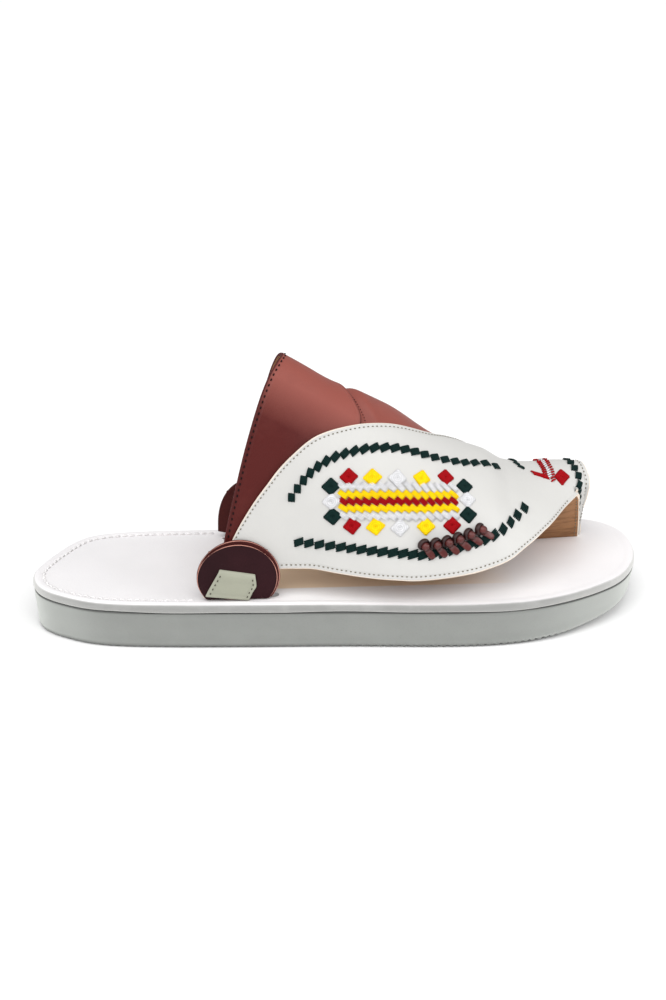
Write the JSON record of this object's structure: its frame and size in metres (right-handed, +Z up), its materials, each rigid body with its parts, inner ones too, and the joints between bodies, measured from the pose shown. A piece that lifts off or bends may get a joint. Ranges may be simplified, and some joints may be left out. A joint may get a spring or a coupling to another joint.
{
  "type": "arabic sandal",
  "caption": "Right-foot leather sandal with an embroidered vamp that folds into a toe ring, a layered instep strap and a moulded sole.",
  "frame": {"origin": "on the flat of the sole's underside, 143.5 mm ahead of the heel end, midway between the feet of the straps' arch", "axes": "+X to the toe, +Y to the inner (big toe) side, +Z up"},
  "size_m": [0.2915, 0.1013, 0.1285],
  "materials": {
    "sole_foam": "moulded foam, fine matt skin",
    "footbed_leather": "smooth grain, semi-matt",
    "white_leather": "smooth grain, semi-matt, embroidered",
    "brown_leather": "fine grain, waxed",
    "disc_rim_leather": "fine grain, matt",
    "disc_face_leather": "fine grain, matt",
    "cream_leather": "smooth grain, matt",
    "knot_leather": "rolled, waxed"
  },
  "bodies": {
    "root": {"outsole": "sole_foam", "footbed": "footbed_leather", "vamp": "white_leather", "instep_strap": "brown_leather", "front_strap": "brown_leather", "outer_disc_back": "disc_rim_leather", "outer_disc_front": "disc_face_leather", "outer_keeper_tab": "cream_leather", "inner_disc_back": "disc_rim_leather", "inner_disc_front": "disc_face_leather", "inner_keeper_tab": "cream_leather", "knot_1": "knot_leather", "knot_2": "knot_leather", "knot_3": "knot_leather", "knot_4": "knot_leather", "knot_5": "knot_leather", "knot_6": "knot_leather"}
  },
  "joints": []
}
